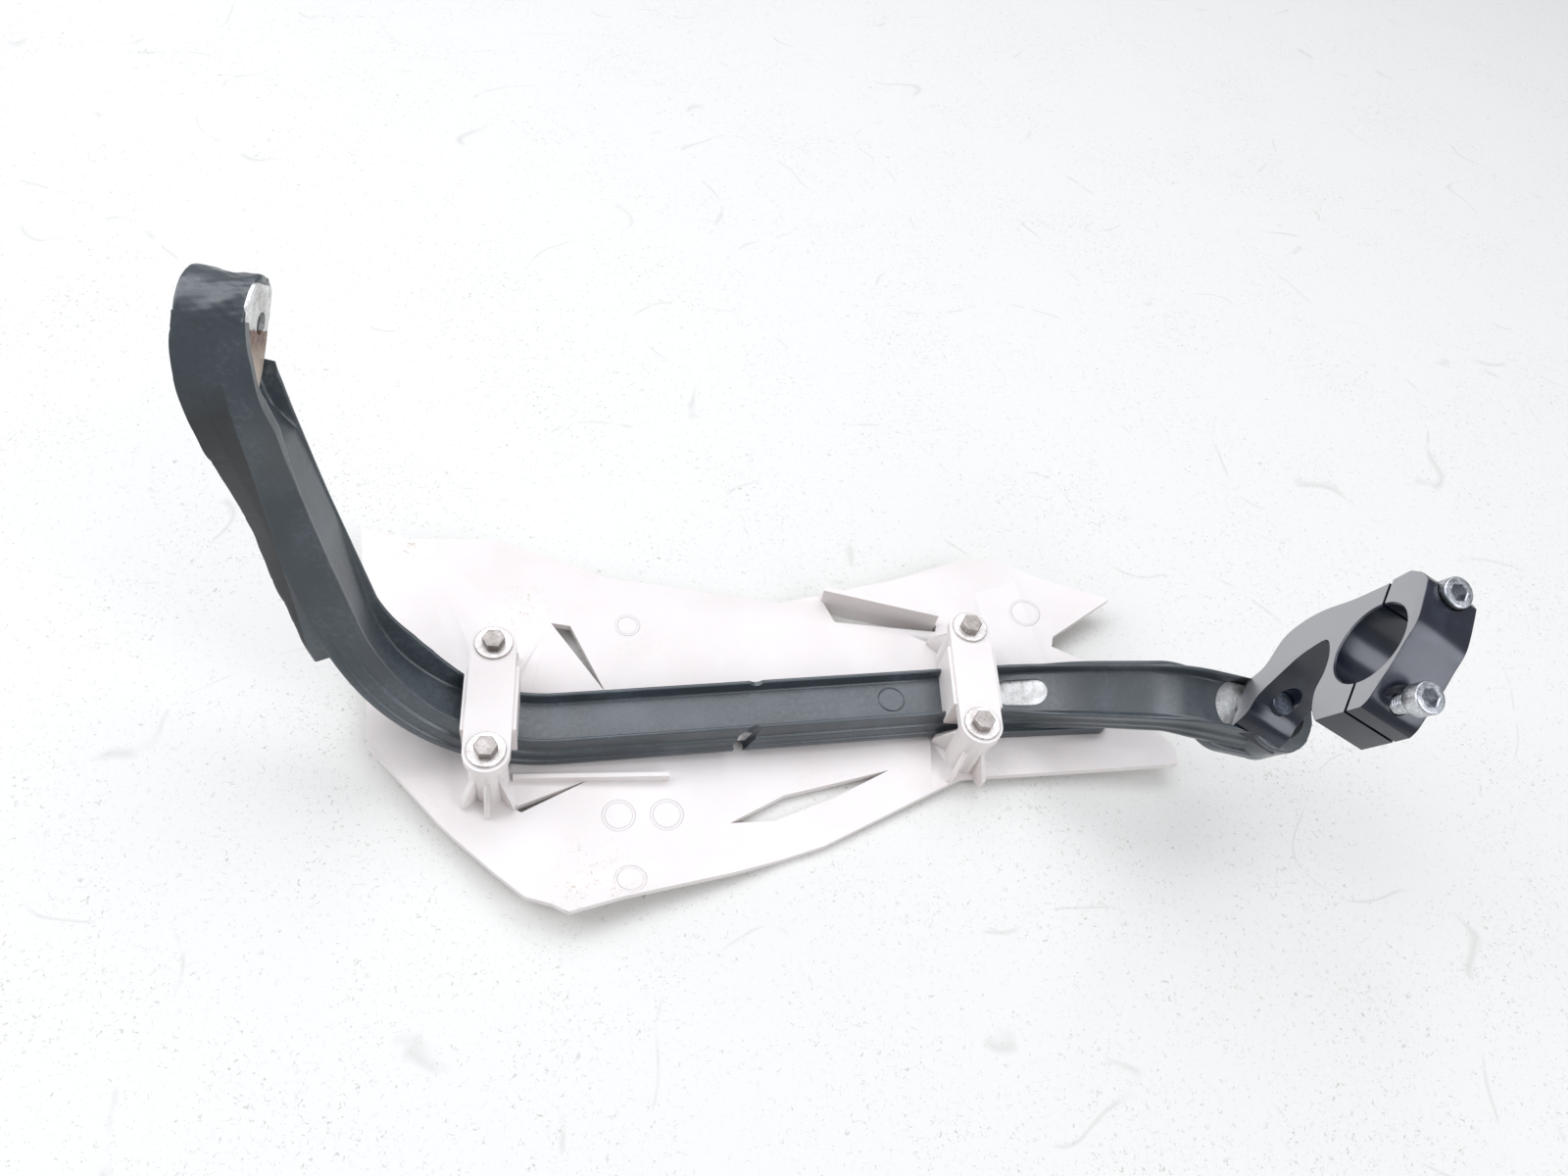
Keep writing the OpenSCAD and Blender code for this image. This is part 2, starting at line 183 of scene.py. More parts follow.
def makeBlackPlastic():
    # Black polypropylene, moulded with a fine spark texture: soft wide highlights, paler where scuffed, with a
    # painted shade on the left leg's lower outer face.
    # The real grain is too fine to show, so it is drawn at 0.5 mm.
    look = blackPlastic
    material, add, place, (cloud, scuff, grain) = startMaterial("mouldedBlackPolypropylene", look["layers"])
    worn = add("Math", {0: scuff, 1: cloud}, operation="MULTIPLY")
    worn = add("ValToRGB", {0: worn}, stops=look["wornStops"])
    base = add("Mix", {0: worn, 6: look["colour"], 7: look["worn"]}, 2, data_type="RGBA")
    dust = add("ValToRGB", {0: cloud}, stops=look["dustStops"])
    base = add("Mix", {0: dust, 6: base, 7: look["dust"]}, 2, data_type="RGBA")
    # below a line that runs down the leg the outer face is rubbed dull, and painted darker: a painted shade
    away = add("VectorMath", {0: place, 1: rubbedShadePlace["point"]}, operation="SUBTRACT")
    rubbedAndShaded = add("ValToRGB", {0: scuff}, stops=look["stripStops"])
    for way, start, end in look["strip"]:
        reach = add("VectorMath", {0: away, 1: rubbedShadePlace[way]}, "Value", operation="DOT_PRODUCT")
        inside = add("MapRange", {"Value": reach, "From Min": start * mm, "From Max": end * mm})
        rubbedAndShaded = add("Math", {0: rubbedAndShaded, 1: inside}, operation="MULTIPLY")
    base = add("Mix", {0: rubbedAndShaded, 6: base, 7: look["rubbedAndShaded"]}, 2, data_type="RGBA")
    rough = add("MapRange", {"Value": scuff, "From Min": 0.3, "From Max": 0.7,
                             "To Min": look["rough"] - 0.07, "To Max": look["rough"] + 0.12})
    rough = add("Math", {0: rubbedAndShaded, 1: 0.2, 2: rough}, operation="MULTIPLY_ADD")
    fine = add("Bump", {"Height": grain, "Strength": 0.25, "Distance": 0.06 * mm})
    normal = add("Bump", {"Height": scuff, "Strength": 0.35, "Distance": 0.12 * mm, "Normal": fine})
    surface = add("BsdfPrincipled", {"Base Color": base, "Roughness": rough, "Normal": normal, "IOR": 1.49,
                                     "Specular IOR Level": 0.95, "Sheen Weight": 0.3, "Sheen Roughness": 0.3})
    add("OutputMaterial", {"Surface": surface})
    return material


whitePlastic = {"colour": "#e6e0dd", "shade": "#dfd6d2", "film": "#cfc6b8", "dirt": "#a3915f", "rough": 0.38,
                "layers": [(40, 3, 0.55, 0), (2.2, 8, 0.75, 0), (60, 2, 0.55, 0), (2.4, 5, 0.8, 1.0),
                           (11.11, 5, 0.5, 2.5), (0.8, 3, 0.55, 0)],
                "shadeStops": [(0.4, 0), (0.7, 0.6)], "filmStops": [(0.33, 0), (0.5, 0.35)],
                "dirtStops": [(0.56, 0), (0.66, 0.7)], "ringWidth": (0.7, 0.3)}
# Spots of grime on the shield, and the moulded rings on it, each with its radius in mm.
grime = [((-32, 87, -21), 12), ((12, 55.5, -26), 9), ((1.6, 42.6, -26), 7), ((32.8, -60.2, -26), 16)]
rings = [((42.7, -34.4, -22), 5.4), ((59.7, -35.1, -22), 5.4), ((45.1, -59.4, -22), 5.0),
         ((216.5, 42.7, -22), 6.0), ((51, 46.1, -22), 4.4)]


def makeWhitePlastic(name, spots=(), moulded=()):
    # White polypropylene, moulded and polished: bright, a little light goes in, faint grime in the corners.
    look = whitePlastic
    material, add, place, noises = startMaterial(name, look["layers"])
    cloud, speck, slow, blotch, scratch, grain = noises
    shade = add("ValToRGB", {0: cloud}, stops=look["shadeStops"])
    base = add("Mix", {0: shade, 6: look["colour"], 7: look["shade"]}, 2, data_type="RGBA")
    film = add("Math", {0: speck, 1: slow}, operation="MULTIPLY")
    film = add("ValToRGB", {0: film}, stops=look["filmStops"])
    base = add("Mix", {0: film, 6: base, 7: look["film"]}, 2, data_type="RGBA")
    dirty = add("ValToRGB", {0: blotch}, stops=look["dirtStops"])
    for centre, radius in spots:
        gap = add("VectorMath", {0: place, 1: laid(centre)}, "Value", operation="DISTANCE")
        inside = add("MapRange", {"Value": gap, "From Min": 1.35 * radius * mm, "From Max": 0.35 * radius * mm})
        patch = add("Math", {0: inside, 1: dirty}, operation="MULTIPLY")
        base = add("Mix", {0: patch, 6: base, 7: look["dirt"]}, 2, data_type="RGBA")
    rough = add("MapRange", {"Value": scratch, "From Min": 0.3, "From Max": 0.7,
                             "To Min": look["rough"] - 0.05, "To Max": look["rough"] + 0.1})
    normal = add("Bump", {"Height": grain, "Strength": 0.12, "Distance": 0.05 * mm})
    # a ring is a low ridge where the level distance from its centre comes near its radius
    level = add("VectorMath", {0: place, 1: (1, 1, 0)}, operation="MULTIPLY")
    outer, inner = look["ringWidth"]
    for centre, radius in moulded:
        gap = add("VectorMath", {0: level, 1: laid(centre) * (1, 1, 0)}, "Value", operation="DISTANCE")
        off = add("Math", {0: gap, 1: radius * mm}, operation="SUBTRACT")
        off = add("Math", {0: off}, operation="ABSOLUTE")
        ridge = add("MapRange", {"Value": off, "From Min": outer * mm, "From Max": inner * mm})
        normal = add("Bump", {"Height": ridge, "Strength": 0.9, "Distance": 0.35 * mm, "Normal": normal})
    surface = add("BsdfPrincipled", {"Base Color": base, "Roughness": rough, "Normal": normal, "IOR": 1.49,
                                     "Subsurface Weight": 0.12, "Subsurface Radius": (1.0, 0.55, 0.45),
                                     "Subsurface Scale": 3 * mm})
    add("OutputMaterial", {"Surface": surface})
    return material


# Each metal's colours, roughness and the width of its grain in mm.
metals = {
    "bolt": ("dullZincSteel", "#b9b2ae", "#736b65", 0.4, 0.8),
    "washer": ("pressedZincSteel", "#eae6e3", "#a69e98", 0.42, 0.9),
    "screw": ("brightZincSteel", "#e2e4e7", "#85878c", 0.33, 0.9),
    "dark": ("blackenedSteel", "#6f7682", "#34373e", 0.4, 0.9),
    "brass": ("turnedBrass", "#c9a55c", "#7a5f2c", 0.35, 0.8),
}
bareAluminium = ("bareAluminium", "#eeefee", "#a8a5a0", 0.46, 1.2)
# The rust stain starts at a ragged line inboard of the left hole and pales further in. Its lengths are in mm,
# and its pale stops are metres along the bar.
rust = {"colour": "#86695a", "pale": "#dccfbe", "dark": "#563e33",
        "layers": [(2.5, 4, 0.55, 0), (3, 5, 0.65, 0)], "ragged": 2.4, "start": (5.6, 6.2), "stop": (34, 30),
        "point": laid((-62.9, 62.6, 114.7)), "along": laidWay((-0.2235, -0.6422, -0.7332)),
        "brownStops": [(0.35, 0), (0.65, 1)], "paleStops": [(0.009, 0), (0.018, 1)]}


def makeMetal(name, colour, dark, rough, grain, stain=None):
    # Bare or plated metal: mottled reflections, fine scratches, darker in the scratches.
    layers = [(grain * 6, 5, 0.65, 0), (grain, 6, 0.7, 0.6)] + (stain["layers"] if stain else [])
    material, add, place, (cloud, fine, *stainNoises) = startMaterial(name, layers)
    mottle = add("Math", {0: cloud, 1: fine}, operation="MULTIPLY")
    mottle = add("ValToRGB", {0: mottle}, stops=[(0.16, 0.85), (0.36, 0)])
    base = add("Mix", {0: mottle, 6: colour, 7: dark}, 2, data_type="RGBA")
    metallic = 1.0
    if stain:
        base, metallic = addStain(add, place, stain, stainNoises, base)
    roughness = add("MapRange", {"Value": fine, "From Min": 0.3, "From Max": 0.7,
                                 "To Min": rough - 0.1, "To Max": rough + 0.14})
    normal = add("Bump", {"Height": fine, "Strength": 0.5, "Distance": 0.04 * mm})
    surface = add("BsdfPrincipled", {"Base Color": base, "Metallic": metallic, "Roughness": roughness,
                                     "Normal": normal})
    add("OutputMaterial", {"Surface": surface})
    return material


def addStain(add, place, look, noises, base):
    # rust on the bare bar between two lengths along it: gives the colour, and the metallic that is left
    ragged, blotch = noises
    away = add("VectorMath", {0: place, 1: look["point"]}, operation="SUBTRACT")
    along = add("VectorMath", {0: away, 1: look["along"]}, "Value", operation="DOT_PRODUCT")
    line = add("Math", {0: ragged, 1: look["ragged"] * mm, 2: along}, operation="MULTIPLY_ADD")
    begun, ended = (add("MapRange", {"Value": reach, "From Min": first * mm, "From Max": last * mm})
                    for reach, (first, last) in ((line, look["start"]), (along, look["stop"])))
    stain = add("Math", {0: begun, 1: ended}, operation="MULTIPLY")
    brown = add("ValToRGB", {0: blotch}, stops=look["brownStops"])
    brown = add("Mix", {0: brown, 6: look["dark"], 7: look["colour"]}, 2, data_type="RGBA")
    pale = add("ValToRGB", {0: along}, stops=look["paleStops"])
    brown = add("Mix", {0: pale, 6: brown, 7: look["pale"]}, 2, data_type="RGBA")
    colour = add("Mix", {0: stain, 6: base, 7: brown}, 2, data_type="RGBA")
    return colour, add("Math", {0: stain, 1: -0.5, 2: 0.6}, operation="MULTIPLY_ADD")


# The flat faces' pale grey is a painted reflection on the black anodising.
anodised = {"colour": "#151a28", "worn": "#3a4152", "face": "#a9a9ac", "rough": 0.24,
            "axis": (-0.826193, 0.504158, 0.251456), "layers": [(9, 5, 0.6, 0), (0.35, 3, 0.55, 0)],
            "wornStops": [(0.5, 0), (0.75, 0.5)]}


def makeAnodised():
    # Black anodised aluminium, milled: deep and glossy on the round sides, while the two flat cut faces, which
    # look along the handlebar's axis, are painted pale grey as a painted reflection, and made more metallic and
    # rougher.
    look = anodised
    material, add, place, (cloud, grain) = startMaterial("blackAnodisedAluminium", look["layers"])
    worn = add("ValToRGB", {0: cloud}, stops=look["wornStops"])
    base = add("Mix", {0: worn, 6: look["colour"], 7: look["worn"]}, 2, data_type="RGBA")
    normal = add("NewGeometry", {}, "Normal")
    facing = add("VectorMath", {0: normal, 1: look["axis"]}, "Value", operation="DOT_PRODUCT")
    facing = add("Math", {0: facing}, operation="ABSOLUTE")
    flat = add("MapRange", {"Value": facing, "From Min": 0.9, "From Max": 0.985})
    # painted reflection: faces that look along the handlebar's axis are lifted to the pale grey face colour
    base = add("Mix", {0: flat, 6: base, 7: look["face"]}, 2, data_type="RGBA")
    metallic = add("Math", {0: flat, 1: 0.5, 2: 0.25}, operation="MULTIPLY_ADD")
    rough = add("Math", {0: flat, 1: 0.16, 2: look["rough"]}, operation="MULTIPLY_ADD")
    bumped = add("Bump", {"Height": grain, "Strength": 0.25, "Distance": 0.02 * mm})
    surface = add("BsdfPrincipled", {"Base Color": base, "Metallic": metallic, "Roughness": rough,
                                     "Normal": bumped, "IOR": 1.76})
    add("OutputMaterial", {"Surface": surface})
    return material


benchTop = {"colour": "#dfddd8", "dark": "#88837c", "rough": 0.6, "half": 4.0, "crowding": 0.14,
            "layers": [(1.5, 4, 0.75, 1.2), (70, 3, 0.55, 0), (120, 1.5, 0.5, 0), (25, 2, 0.55, 0)],
            "speckStops": [(0.67, 0), (0.72, 0.5)], "lineStops": [(0.0005, 0.22), (0.0016, 0)],
            "partStops": [(0.52, 0), (0.6, 1)]}


def makeBenchTop():
    # Pale laminate, pressed smooth: plain, with fine dark specks and a few hair lines, which lie where a slow
    # noise crosses its middle value. The specks are drawn coarser than they are, so that they show.
    look = benchTop
    material, add, place, (speck, crowd, slow, parts) = startMaterial("paleBenchTop", look["layers"])
    dots = add("Math", {0: crowd, 1: look["crowding"], 2: speck}, operation="MULTIPLY_ADD")
    dots = add("ValToRGB", {0: dots}, stops=look["speckStops"])
    line = add("Math", {0: slow, 1: 0.5}, operation="SUBTRACT")
    line = add("Math", {0: line}, operation="ABSOLUTE")
    line = add("ValToRGB", {0: line}, stops=look["lineStops"])
    parts = add("ValToRGB", {0: parts}, stops=look["partStops"])
    hair = add("Math", {0: line, 1: parts}, operation="MULTIPLY")
    marks = add("Math", {0: dots, 1: hair}, operation="MAXIMUM")
    base = add("Mix", {0: marks, 6: look["colour"], 7: look["dark"]}, 2, data_type="RGBA")
    surface = add("BsdfPrincipled", {"Base Color": base, "Roughness": look["rough"]})
    add("OutputMaterial", {"Surface": surface})
    return material


finishes = {
    "black": makeBlackPlastic(),
    "shield": makeWhitePlastic("whitePolypropylene", grime, rings),
    "bridge": makeWhitePlastic("whiteBridgePolypropylene"),
    "core": makeMetal(*bareAluminium, rust),
    "anodised": makeAnodised(),
}
finishes.update({key: makeMetal(*look) for key, look in metals.items()})
print("materials made:", len(finishes))


def gridMesh(name, grid, capped=True):
    # a mesh from a grid of points in the guard's frame, in mm, rows along and columns round in a ring
    rows, columns = grid.shape[:2]
    index = np.arange(rows * columns).reshape(rows, columns)
    index = np.concatenate([index, index[:, :1]], 1)
    quads = np.stack([index[:-1, :-1], index[1:, :-1], index[1:, 1:], index[:-1, 1:]], -1).reshape(-1, 4)
    faces = quads.tolist()
    if capped:
        faces += [index[0, :-1].tolist(), index[-1, :-1][::-1].tolist()]
    mesh = bpy.data.meshes.new(name)
    mesh.from_pydata(laid(grid).reshape(-1, 3).tolist(), [], faces)
    mesh.update()
    return mesh


def shaded(mesh, angle=32.0):
    # smooth faces with edges sharper than angle kept crisp
    mesh.polygons.foreach_set("use_smooth", np.ones(len(mesh.polygons), bool))
    mesh.update()
    mesh.set_sharp_from_angle(angle=math.radians(angle))
    return mesh


def addPiece(name, mesh, finish, slot, *replaced):
    piece = bpy.data.objects.new(name, mesh)
    bpy.context.scene.collection.objects.link(piece)
    mesh.materials.clear()
    mesh.materials.append(finishes[finish])
    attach(piece, "root")
    if replaced:
        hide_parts(*replaced)
    return piece


# Points nearer than this are merged (metres), faces flatter than this joined, edges sharper than this rounded.
dressing = {"merge": 2e-6, "flat": 0.6, "edge": 35, "segments": 2}


def dressed(node, name, finish, slot, bevel):
    # a merged copy of a CAD piece with its flat faces joined and its edges rounded by bevel mm
    mesh = nodes[node].data.copy()
    shape = bmesh.new()
    shape.from_mesh(mesh)
    bmesh.ops.remove_doubles(shape, verts=shape.verts, dist=dressing["merge"])
    flat = math.radians(dressing["flat"])
    bmesh.ops.dissolve_limit(shape, angle_limit=flat, verts=shape.verts, edges=shape.edges)
    shape.to_mesh(mesh)
    shape.free()
    piece = addPiece(name, shaded(mesh), finish, slot, node)
    edge = piece.modifiers.new("roundedEdges", "BEVEL")
    edge.width = bevel * mm
    edge.segments = dressing["segments"]
    edge.limit_method = "ANGLE"
    edge.angle_limit = math.radians(dressing["edge"])
    edge.use_clamp_overlap = True


# The pieces whose shape is the model's: node, name, finish, slot and bevel in mm.
dressedPieces = [
    ("bar_core", "barCore", "core", "bare_aluminium", 0.3),
    ("shield", "shieldShell", "shield", "white_plastic", 0.35),
    ("bridge_left", "bridgeLeft", "bridge", "bridge_plastic", 0.6),
    ("bridge_right", "bridgeRight", "bridge", "bridge_plastic", 0.6),
    ("pivot_bolt", "pivotBolt", "dark", "screw_steel", 0.35),
    ("pivot_washer", "pivotWasher", "washer", "washer_steel", 0.15),
]
for side in ("left", "right"):
    for end in ("top", "low"):
        tail = side.capitalize() + end.capitalize()
        dressedPieces.append((f"bolt_{side}_{end}", "bolt" + tail, "bolt", "bolt_steel", 0.25))
        dressedPieces.append((f"washer_{side}_{end}", "washer" + tail, "washer", "washer_steel", 0.2))
        dressedPieces.append((f"insert_{side}_{end}", "insert" + tail, "brass", "insert_brass", 0.15))
for look in dressedPieces:
    dressed(*look)
print("pieces dressed:", len(dressedPieces))


def outward(mesh):
    # a closed surface turned right side out, by the sign of its volume
    shape = bmesh.new()
    shape.from_mesh(mesh)
    if shape.calc_volume(signed=True) < 0:
        bmesh.ops.reverse_faces(shape, faces=shape.faces)
    shape.to_mesh(mesh)
    shape.free()
    return mesh


def combined(first, others):
    # first with each (operation, mesh) applied in turn: "UNION" joins, "DIFFERENCE" cuts
    body = bpy.data.objects.new("joining", outward(first))
    bpy.context.scene.collection.objects.link(body)
    for operation, mesh in others:
        tool = bpy.data.objects.new("tool", outward(mesh))
        bpy.context.scene.collection.objects.link(tool)
        step = body.modifiers.new("step", "BOOLEAN")
        step.operation, step.object, step.solver = operation, tool, "EXACT"
        result = bpy.data.meshes.new_from_object(body.evaluated_get(bpy.context.evaluated_depsgraph_get()))
        body.modifiers.clear()
        body.data = result
        bpy.data.objects.remove(tool)
    bpy.data.objects.remove(body)
    return result


def placeFrame(origin, xWay, zWay):
    # origin and the three directions as rows
    zWay = unit(np.asarray(zWay, float))
    xWay = squareTo(np.asarray(xWay, float), zWay)
    return np.array([origin, xWay, np.cross(zWay, xWay), zWay], float)


def moved(place, shift, tiltY=0.0, spinZ=0.0):
    # a frame moved by shift in its own directions, then tilted about its y and spun about its z, in degrees
    tilt, spin = math.radians(tiltY), math.radians(spinZ)
    cy, sy, cz, sz = math.cos(tilt), math.sin(tilt), math.cos(spin), math.sin(spin)
    turnZ = np.array([[cz, sz, 0], [-sz, cz, 0], [0, 0, 1]])
    turnY = np.array([[cy, 0, -sy], [0, 1, 0], [sy, 0, cy]])
    return np.vstack([inFrame(place, shift), turnY @ turnZ @ place[1:]])


def inFrame(place, local):
    return place[0] + np.asarray(local, float) @ place[1:]


def roundedOutline(corners, radius, steps=4):
    # a closed outline whose corners are replaced by curves: (1 - t) squared times the start, 2 t (1 - t) times
    # the corner and t squared times the end
    here = np.array(corners, float)
    before, after = np.roll(here, 1, 0), np.roll(here, -1, 0)
    backLength = np.linalg.norm(before - here, axis=1, keepdims=True)
    onLength = np.linalg.norm(after - here, axis=1, keepdims=True)
    cut = np.minimum(np.asarray(radius, float).reshape(-1, 1), 0.42 * np.minimum(backLength, onLength))
    first = here + (before - here) / backLength * cut
    last = here + (after - here) / onLength * cut
    t = np.linspace(0, 1, steps)[None, :, None]
    curve = first[:, None] * (1 - t) ** 2 + 2 * here[:, None] * t * (1 - t) + last[:, None] * t ** 2
    return curve.reshape(-1, 2)


def smoothOutline(corners, sharp, steps=7):
    # a curve through the corners, each stretch a cubic with its ends' slopes half the way between the corners
    # on either side, and no slope at the sharp ones
    here = np.array(corners, float)
    after, later, before = np.roll(here, -1, 0), np.roll(here, -2, 0), np.roll(here, 1, 0)
    stiff = np.zeros(len(here))
    stiff[list(sharp)] = 1
    startPull = (after - before) * 0.5 * (1 - stiff)[:, None]
    endPull = (later - here) * 0.5 * (1 - np.roll(stiff, -1))[:, None]
    t = np.linspace(0, 1, steps, endpoint=False)[None, :, None]
    curve = ((2 * t ** 3 - 3 * t ** 2 + 1) * here[:, None] + (t ** 3 - 2 * t ** 2 + t) * startPull[:, None]
             + (3 * t ** 2 - 2 * t ** 3) * after[:, None] + (t ** 3 - t ** 2) * endPull[:, None])
    return curve.reshape(-1, 2)


def disc(radius, steps=80):
    a = np.linspace(0, 2 * np.pi, steps, endpoint=False)
    return np.stack([np.cos(a), np.sin(a)], 1) * radius


def oblong(radius, length, steps=40):
    # a round-ended slot from one round centre back to the other
    a = np.linspace(-np.pi / 2, np.pi / 2, steps)
    tip = np.stack([np.cos(a), np.sin(a)], 1) * radius
    tail = np.stack([-np.cos(a) - length / radius, np.sin(-a)], 1) * radius
    return np.concatenate([tip, tail])


def rectangle(low, high):
    # an outline from its lowest to its highest corner
    return np.array([(0, 0), (1, 0), (1, 1), (0, 1)], float) * np.subtract(high, low) + low


def prism(place, outline, low, high):
    # a flat outline raised from low to high in a frame
    flat = np.asarray(outline, float)
    heights = np.array([low, high])
    grid = np.concatenate([np.repeat(flat[None], 2, 0), np.repeat(heights[:, None, None], len(flat), 1)], 2)
    return gridMesh("prism", inFrame(place, grid))


# A torn rim is a sum of waves, each with so many crests round the outline and so much slant up the wall.
tornWaves = ((2, 0.6), (5, -1.0), (11, 1.3), (23, -2.1), (38, 1.7))


def roundedBlock(place, outline, low, high, rim, steps=5, torn=0.0, seed=1, levels=0):
    # an outline raised from low to high, drawn in at both rims by rim times one less the sine of a quarter
    # turn. Torn moves it in and out by about that many mm, least at the lower rim, in levels between the rims.
    flat = np.asarray(outline, float)
    along = unit(np.roll(flat, -1, 0) - np.roll(flat, 1, 0))
    out = np.stack([along[:, 1], -along[:, 0]], 1)
    a = np.linspace(0, np.pi / 2, steps)
    middle = np.linspace(low + rim, high - rim, levels + 2)[1:-1]
    inset = np.concatenate([rim * (1 - np.sin(a)), 0 * middle, rim * (1 - np.cos(a))])
    height = np.concatenate([low + rim * (1 - np.cos(a)), middle, high - rim * (1 - np.sin(a))])
    around = np.linspace(0, 2 * np.pi, len(flat), endpoint=False)[None]
    share = (0.25 + 0.75 * (height - low) / (high - low))[:, None]
    lump = sum(np.sin(crests * around + slant * height[:, None] * 0.5 + seed * crests) / (crests ** 0.6)
               for crests, slant in tornWaves)
    rough = torn * share * 0.6 * lump
    shape = flat[None] - out[None] * (inset[:, None] - rough)[..., None]
    level = height[:, None] + rough * 0.5 * (height[:, None] > high - rim * 1.01)
    return gridMesh("block", inFrame(place, np.concatenate([shape, level[..., None]], 2)))


def sweepSection(name, section, lengths, change):
    # the section carried along the path: each point is the station plus its across times the side plus its
    # height times the up. change(points, lengths) pushes the points about first.
    point, way, side, up = stationsAt(lengths)
    flat = change(np.repeat(section[None], len(lengths), 0), lengths)
    return gridMesh(name, point[:, None] + flat[..., :1] * side[:, None] + flat[..., 1:] * up[:, None])


def waves(x, seed, count, slowest, fastest):
    # a smooth random line: a sum of sine waves with random phases
    chance = np.random.default_rng(seed)
    speeds = np.geomspace(slowest, fastest, count)
    lines = (np.sin(x * k * 2 * np.pi + chance.uniform(0, 6.28)) / (1 + i) ** 0.5
             for i, k in enumerate(speeds))
    return sum(lines) / count ** 0.5


point, way, side, up = stationsAt(pathReach[[0, -1]])
leftEnd = placeFrame(point[0], -way[0], up[0])
rightEnd = placeFrame(point[1], way[1], up[1])
leftPlate = moved(leftEnd, (0, 0, 4), -3.3)
guardPlace = np.array([[0, 0, 0], [1, 0, 0], [0, 1, 0], [0, 0, 1]], float)

# Bar cover: the channel section is carried along the path, the round ends are raised outlines, and pockets,
# window, gouge and notch are cut where the model has them. The thick back of the left leg is scraped ragged.
coverLook = {
    "half": [(11, -8.8), (12.7, -8), (12.7, -5.6), (11.8, -5), (11.6, -1.8), (10.4, -1), (10, 4.5), (8.6, 4.5),
             (8, 0)],
    "radii": [0.8, 0.7, 0.5, 0.5, 0.5, 0.5, 0.55, 0.55, 1.1], "step": 1.6,
    "back": [(-10.8, -14), (10.8, -14), (11.2, -7.6), (-11.2, -7.6)], "backRadii": [1.2, 1.2, 0.3, 0.3],
    "backRun": (0.2, bendReach(1, 2) - 8), "backSteps": 150,
    "leftRadius": 13.1, "rightRadius": 13.8,
    "leftBoss": {"low": -14.3, "high": 4.8, "rim": 0.9, "torn": 1.05, "seed": 3, "levels": 16},
    "rightBoss": {"low": -12.8, "high": 4.8, "rim": 0.9, "torn": 0.45, "seed": 8, "levels": 12},
    "rightShift": (0, -0.7, 0), "footShift": (-0.5, -0.7, 0), "footSize": (13.7, 13.5),
    "foot": {"low": -12.5, "high": -7.5, "rim": 0.8},
    "tonguePlace": (230, -12, -21.8), "tongueTurns": (-4.2, -3), "tongueSize": (4.5, 50),
    "tongue": {"low": -0.1, "high": 4.3, "rim": 0.5},
    "pocket": 9.8, "leftRun": 13, "rightRun": 12.7, "stain": ((-10.5, -19), (15.5, -7)), "stainRound": 3.5,
    "leftHole": 6.2, "rightHole": 8.6, "holeShift": (-5, 0, -1.5),
    "window": (5.2, 10), "windowShift": (5, 0, 0),
    "cutter": 3.0, "gougePlace": (95, -13.2, -10), "gougeTurns": (-152, -8), "notchPlace": (96, 4, -11.2),
    "depths": {"leftPocket": (-0.4, 19.6), "rightPocket": (-1.9, 18.1), "stainPocket": (-1.0, 12),
               "leftHole": (-30, -2.5), "rightHole": (-20, -2.5), "window": (-1.9, 7.1), "gouge": (1.6, 30),
               "notch": (0, 10)},
}
# The left leg by the length along it: how far its near and far walls and its floor rise, and the height below
# which its outer face leans in. The other values shape that face, from the middle and towards the end.
legLook = {
    "near": [(0, 0.5), (6, 1.3), (12, 2.4), (16, 2.7), (22, 3.1), (30, 3.5), (40, 1.8), (50, 0.8), (60, 0.4),
             (75, 0)],
    "far": [(0, 0), (8, 0), (13, 1.2), (22, 1.3), (30, 0.8), (40, 0.5), (50, 0.2), (60, 0), (100, 0.2),
            (110, 1.7), (120, 3.6), (130, 4.0), (140, 3.0), (150, 1.3), (165, 0)],
    "floor": [(0, 0), (27, 0), (37, 4.1), (68, 4.1), (122, 0)],
    "ramp": [(0, 2), (20, -1.2), (30, -2.4), (50, -5.5), (70, -8.7), (90, -11.3), (100, -12.3), (120, -14)],
    "plain": (125, 95), "wallFrom": 2.5, "floorHalf": 8.7, "floorFrom": -0.6, "floorTo": 2.4, "floorTop": 4.5,
    "lean": 0.5, "leanFrom": 12, "leanRun": 45, "outerFrom": -9.6, "top": 5, "slope": 0.16, "narrow": 10,
    "wide": 12.4, "end": (52, 24), "endFace": 13.0,
}
# The scraped edge: seed, count, slowest and fastest of each random line, and how far it goes in mm.
scrapeLook = {"clear": 0.02, "edge": -9, "sway": (5, 5, 0.01, 0.05), "bites": (21, 6, 0.1, 0.5),
              "biteFrom": 0.6, "ripple": (11, 6, 0.02, 0.12), "in": 0.5, "up": 0.4, "down": 0.3}


